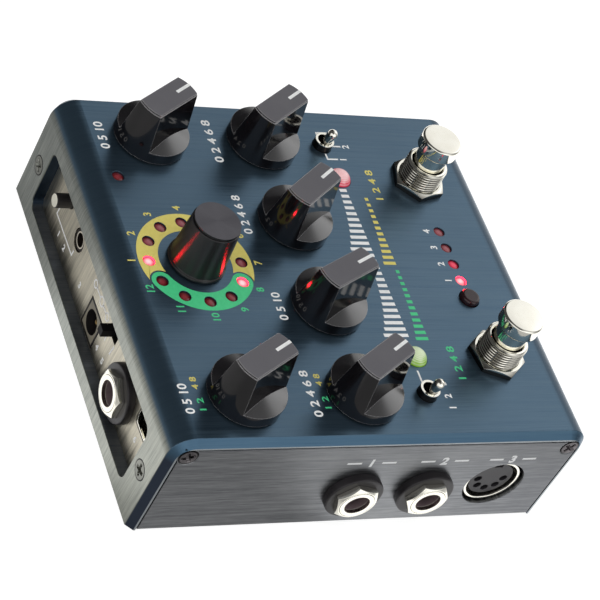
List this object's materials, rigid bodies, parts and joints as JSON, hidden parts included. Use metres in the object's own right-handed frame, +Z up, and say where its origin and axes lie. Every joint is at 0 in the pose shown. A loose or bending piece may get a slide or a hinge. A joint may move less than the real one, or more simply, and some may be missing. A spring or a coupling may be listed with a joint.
{
  "type": "delay and reverb pedal",
  "caption": "Low blue-grey metal guitar effects pedal with pointer knobs, a ringed encoder, foot switches, toggles, lights and sockets on three sides.",
  "frame": {"origin": "middle of the flat base", "axes": "+X to the player's right, +Y away from the player to the connector side, +Z up"},
  "size_m": [0.116, 0.1164, 0.0496],
  "materials": {
    "case_blue": "brushed, blue-grey anodised",
    "plate_grey": "brushed, grey anodised",
    "panel_grey": "satin",
    "nickel": "nickel plated",
    "board_green": "solder mask",
    "support_white": "moulded",
    "inner_black": "moulded",
    "control_metal": "pressed",
    "knob_black": "gloss with a matt top",
    "lens_off": "tinted lens",
    "lens_lit": "lit lens",
    "lens_green": "clear lens, lit",
    "lens_red": "clear lens, lit",
    "button_brown": "moulded",
    "collar_black": "moulded",
    "insert_grey": "moulded",
    "brass_pin": "bare"
  },
  "bodies": {
    "chassis": {"shell": "case_blue", "base_tray": "plate_grey", "end_screws": "nickel", "connector_panel": "panel_grey", "panel_screws": "nickel", "control_board": "board_green", "main_board": "board_green", "connector_board": "board_green", "board_supports": "support_white", "stacking_header": "inner_black", "board_chips": "inner_black", "pot_bodies": "control_metal", "control_nuts": "nickel", "encoder_body": "control_metal", "ring_lights": "lens_off", "ring_lights_on": "lens_lit", "preset_lights": "lens_off", "preset_light_on": "lens_lit", "peak_light": "lens_off", "left_status_light": "lens_green", "right_status_light": "lens_red", "footswitch_bodies": "inner_black", "footswitch_bushings": "nickel", "footswitch_nuts": "nickel", "toggle_bodies": "inner_black", "toggle_bushings": "nickel", "select_switch": "inner_black", "push_switch": "inner_black", "slide_switch": "control_metal", "jack_bodies": "inner_black", "jack_collars": "collar_black", "jack_nuts": "nickel", "din_bodies": "insert_grey", "din_shields": "nickel", "mini_jack": "nickel", "power_socket": "collar_black", "power_pin": "brass_pin", "data_socket": "nickel"},
    "delay": {"delay_knob": "knob_black", "delay_shaft": "nickel"},
    "mix": {"mix_knob": "knob_black", "mix_shaft": "nickel"},
    "feedback": {"feedback_knob": "knob_black", "feedback_shaft": "nickel"},
    "tone": {"tone_knob": "knob_black", "tone_shaft": "nickel"},
    "first_control": {"first_control_knob": "knob_black", "first_control_shaft": "nickel"},
    "second_control": {"second_control_knob": "knob_black", "second_control_shaft": "nickel"},
    "encoder": {"encoder_knob": "knob_black", "encoder_shaft": "nickel"},
    "left_footswitch": {"left_plunger": "nickel"},
    "right_footswitch": {"right_plunger": "nickel"},
    "left_toggle": {"left_toggle_lever": "nickel"},
    "right_toggle": {"right_toggle_lever": "nickel"},
    "select": {"select_button": "button_brown"},
    "push": {"push_button": "collar_black"},
    "slide": {"slide_lever": "collar_black"}
  },
  "joints": [
    {"name": "delay_turn", "type": "hinge", "parent": "chassis", "child": "delay", "pos_m": [-0.0403, 0.036, 0.0333], "axis": [0, 0, 1], "range_deg": [-5, 295]},
    {"name": "mix_turn", "type": "hinge", "parent": "chassis", "child": "mix", "pos_m": [0.0403, 0.036, 0.0333], "axis": [0, 0, 1], "range_deg": [-9, 291]},
    {"name": "feedback_turn", "type": "hinge", "parent": "chassis", "child": "feedback", "pos_m": [-0.0403, 0.0044, 0.0333], "axis": [0, 0, 1], "range_deg": [-7, 293]},
    {"name": "tone_turn", "type": "hinge", "parent": "chassis", "child": "tone", "pos_m": [-0.0134, 0.0044, 0.0333], "axis": [0, 0, 1], "range_deg": [-2, 298]},
    {"name": "first_control_turn", "type": "hinge", "parent": "chassis", "child": "first_control", "pos_m": [0.0134, 0.0044, 0.0333], "axis": [0, 0, 1], "range_deg": [-12, 288]},
    {"name": "second_control_turn", "type": "hinge", "parent": "chassis", "child": "second_control", "pos_m": [0.0403, 0.0044, 0.0333], "axis": [0, 0, 1], "range_deg": [-10, 290]},
    {"name": "encoder_turn", "type": "hinge", "parent": "chassis", "child": "encoder", "pos_m": [0, 0.0357, 0.0333], "axis": [0, 0, 1], "continuous": true},
    {"name": "left_footswitch_press", "type": "slide", "parent": "chassis", "child": "left_footswitch", "axis": [0, 0, -1], "range_m": [0, 0.0025], "stiffness_N_per_m": 3000, "springref_m": -0.002},
    {"name": "right_footswitch_press", "type": "slide", "parent": "chassis", "child": "right_footswitch", "axis": [0, 0, -1], "range_m": [0, 0.0025], "stiffness_N_per_m": 3000, "springref_m": -0.002},
    {"name": "left_toggle_throw", "type": "hinge", "parent": "chassis", "child": "left_toggle", "pos_m": [-0.0405, -0.0138, 0.0325], "axis": [0, 1, 0], "range_deg": [0, 26]},
    {"name": "right_toggle_throw", "type": "hinge", "parent": "chassis", "child": "right_toggle", "pos_m": [0.0405, -0.0138, 0.0325], "axis": [0, 1, 0], "range_deg": [0, 26]},
    {"name": "select_press", "type": "slide", "parent": "chassis", "child": "select", "axis": [0, 0, -1], "range_m": [0, 0.0004], "stiffness_N_per_m": 2000, "springref_m": -0.0004},
    {"name": "push_press", "type": "slide", "parent": "chassis", "child": "push", "axis": [0, -1, 0], "range_m": [0, 0.001], "stiffness_N_per_m": 1000, "springref_m": -0.0005},
    {"name": "slide_throw", "type": "slide", "parent": "chassis", "child": "slide", "axis": [-1, 0, 0], "range_m": [0, 0.0024]}
  ]
}
